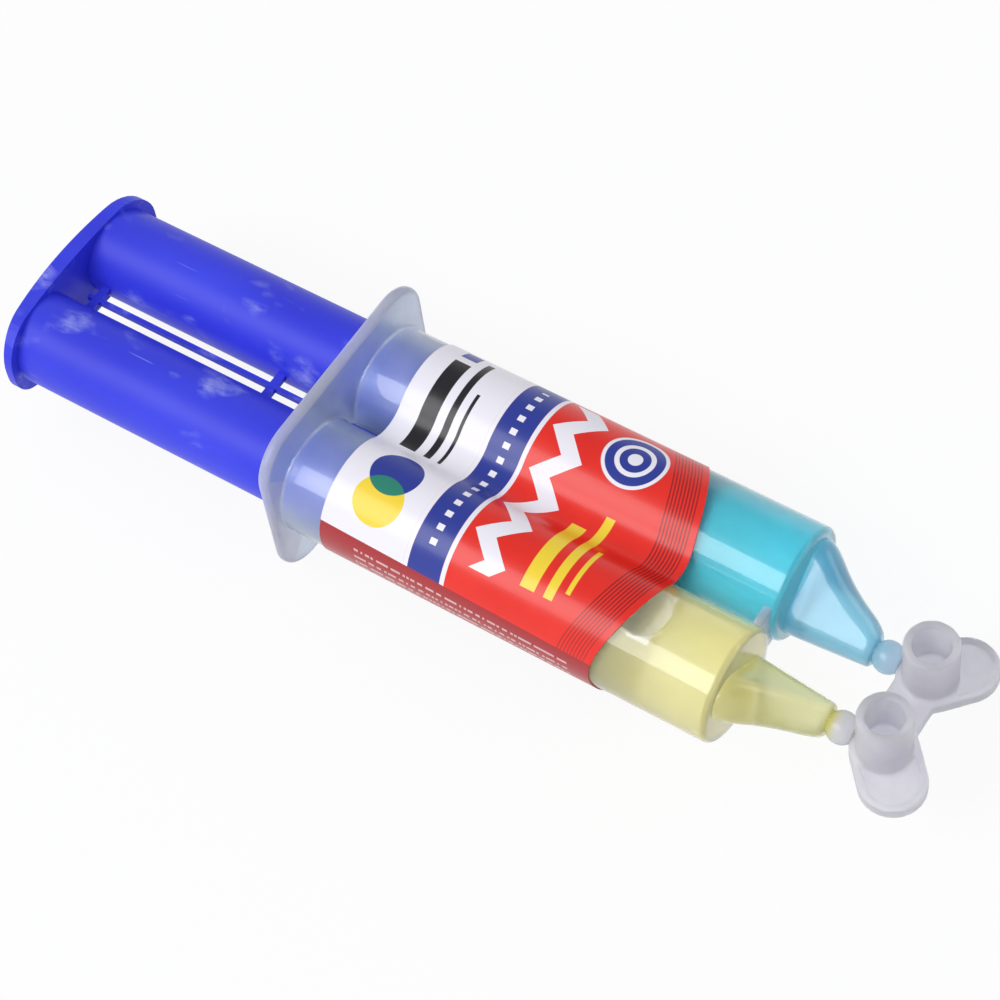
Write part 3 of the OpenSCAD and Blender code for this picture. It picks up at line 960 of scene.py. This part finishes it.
def add_world():
    """Soft light from all round, seen as a white backdrop under a dimmer ceiling."""
    world = bpy.data.worlds.new("studio")
    bpy.context.scene.world = world
    t = Tree(world, "OutputWorld")
    height = t.node("SeparateXYZ", {0: t.node("TexCoord").outputs["Generated"]}).outputs[2]
    backdrop = t.mix(t.ramp(height, CEILING_FROM, CEILING_FULL), BACKDROP, CEILING)
    seen = t.node("Background", {"Color": backdrop, "Strength": 1.0})
    light = t.node("Background", {"Color": WORLD_COLOUR, "Strength": WORLD_LIGHT})
    t.finish(t.mix_shaders(seen_directly(t), light.outputs[0], seen.outputs[0]))


def add_floor():
    """Pale floor that looks nearly as white as the backdrop."""
    corners = [(-1, -1), (1, -1), (1, 1), (-1, 1)]
    verts = [(x * FLOOR_HALF, y * FLOOR_HALF, 0) for x, y in corners]
    floor = new_object("floor", mesh_from("floor", verts, [(0, 1, 2, 3)]))
    floor.location.z = -FLOOR_DROP
    t = material_tree("pale_floor")
    matt = t.node("BsdfDiffuse", {"Color": FLOOR_COLOUR})
    white = t.node("Emission", {"Color": BACKDROP, "Strength": 1.0})
    share = t.times(seen_directly(t), FLOOR_GLOW_SHARE)
    floor.data.materials.append(t.finish(t.mix_shaders(share, matt.outputs[0], white.outputs[0])))


# ---------------------------------------------------------------- pieces with their looks
CLEAR, MILKY, FROSTED, WETTED = range(4)
BUBBLE_X, BUBBLE_TURN = flange_high.x + 62.2 * MM, math.radians(-2)

LIQUID_CLEAR_SHARE, TIP_CLEAR_SHARE = 0.62, 0.8
LIQUID_COLOURS = {
    "resin": (rgb(246, 240, 178), rgb(238, 231, 160)),
    "hardener": (rgb(92, 228, 242), rgb(72, 212, 230)),
}
TIP_COLOURS = {
    "resin": (rgb(240, 238, 194), rgb(228, 226, 168)),
    "hardener": (rgb(160, 218, 234), rgb(138, 206, 226)),
}
BUBBLE_COLOURS = (rgb(255, 255, 252), rgb(248, 248, 236))
BALL_GLASS = rgb(226, 226, 240)
BALL_TINTS = {  # tint of the liquid left in a ball, and how far it stays full and reaches
    "resin": (rgb(226, 220, 110), 2.2 * MM, 3.4 * MM),
    "hardener": (rgb(160, 210, 234), 2.5 * MM, 6.0 * MM),
}


def paint(obj, *materials):
    """Gives a piece its materials, and keeps which face has which."""
    which = [face.material_index for face in obj.data.polygons]
    obj.data.materials.clear()
    for m in materials:
        obj.data.materials.append(m)
    if len(materials) > 1:
        obj.data.polygons.foreach_set("material_index", which)


def body_slot(c):
    """Which of the clear moulding's materials a face with its centre at c has."""
    radius = from_axis(c, HARDENER if c.y > 0 else RESIN)
    if PISTON_X - MARGIN < c.x < CHAMBER_X1 + MARGIN and radius < BORE_R + MARGIN:
        return WETTED
    on_flange = c.x < flange_high.x + MARGIN and radius > BORE_R + MARGIN
    between = abs(c.y) < AXIS_Y - BORE_R
    if on_flange or (between and tie_low.x - MARGIN < c.x < tie_high.x + MARGIN):
        return FROSTED
    return MILKY if c.x < LABEL_MIDDLE_X else CLEAR


def dress_body():
    """The clear moulding, clear in front, milky behind and frosted on the flange and the tie."""
    clear = clear_material(
        "clear_polypropylene", rgb(248, 249, 252), rgb(240, 242, 248),
        transmission=1.0, roughness=0.35, skin=1.0)
    milky = clear_material(
        "milky_polypropylene", rgb(206, 218, 236), rgb(192, 207, 229),
        transmission=0.8, roughness=0.35, skin=1.0)
    frosted = clear_material(
        "frosted_polypropylene", rgb(226, 227, 238), rgb(214, 215, 229),
        transmission=0.6, roughness=0.36, skin=0.0)
    body = clear_body()
    paint(body, clear, milky, frosted, wetted_material())
    for face in body.data.polygons:
        face.material_index = body_slot(face.center)
    smooth(body.data, angle=32)
    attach(body, "syringe")
    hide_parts("finger_flange", "resin_barrel", "hardener_barrel",
                "end_tie", "resin_nozzle", "hardener_nozzle")


def dress_label():
    """The label, printed outside and plain inside."""
    label = label_piece()
    paint(label, label_material(), film_back_material())
    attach(label, "syringe")
    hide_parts("label_sleeve")


def dress_liquids():
    """Columns in the barrels, one with a bubble, and what fills the nozzles."""
    for name, side in SIDES.items():
        column = column_piece(name + "_column", side)
        looks = [liquid_material(name + "_liquid", *LIQUID_COLOURS[name], LIQUID_CLEAR_SHARE)]
        if side == RESIN:
            cut_bubble(column, side, BUBBLE_X, BUBBLE_TURN)
            looks.append(bubble_material(*BUBBLE_COLOURS))
        paint(column, *looks)
        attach(column, "syringe")
        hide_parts(name + "_fill")
        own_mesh(column)
        drop = nozzle_liquid(name + "_in_nozzle", side)
        paint(drop, liquid_material(name + "_in_tip", *TIP_COLOURS[name], TIP_CLEAR_SHARE))
        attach(drop, "syringe")
        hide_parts(name + "_nozzle_fill")


def dress_plunger():
    """CAD meshes of the plunger in their colours, and front ties that shear as it goes in."""
    blue = blue_material()
    for n in ("resin_rod", "hardener_rod", "thumb_plate", "mixing_stick", "rear_ties"):
        paint(nodes[n], blue)
    piston = piston_material()
    for n in ("resin_piston", "hardener_piston"):
        paint(nodes[n], piston)
    ties = joined("front_stick_ties", ["front_ties"])
    paint(ties, blue)
    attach(ties, "plunger")
    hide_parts("front_ties")
    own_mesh(ties)


def dress_tab():
    """The snap-off tab, and its two balls with a little liquid left near their necks."""
    tab = tab_piece()
    paint(tab, tab_material())
    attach(tab, "break_tab")
    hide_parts("tab_bridge", "resin_wing", "hardener_wing", "resin_socket", "hardener_socket")
    for name, (tint, near, far) in BALL_TINTS.items():
        core = (ball_low.x, SIDES[name] * TIP_Y, TIP_Z)
        look = ball_material(name + "_ball", BALL_GLASS, tint, core, near, far)
        paint(nodes[name + "_tip_ball"], look)


def main():
    """Builds the looks and the studio."""
    dress_body()
    dress_label()
    dress_liquids()
    dress_plunger()
    dress_tab()
    add_camera()
    add_world()
    add_floor()
    for name, sizes in SOFTBOXES.items():
        add_softbox(name, *sizes)
    bpy.context.scene.view_settings.view_transform = "Standard"


main()
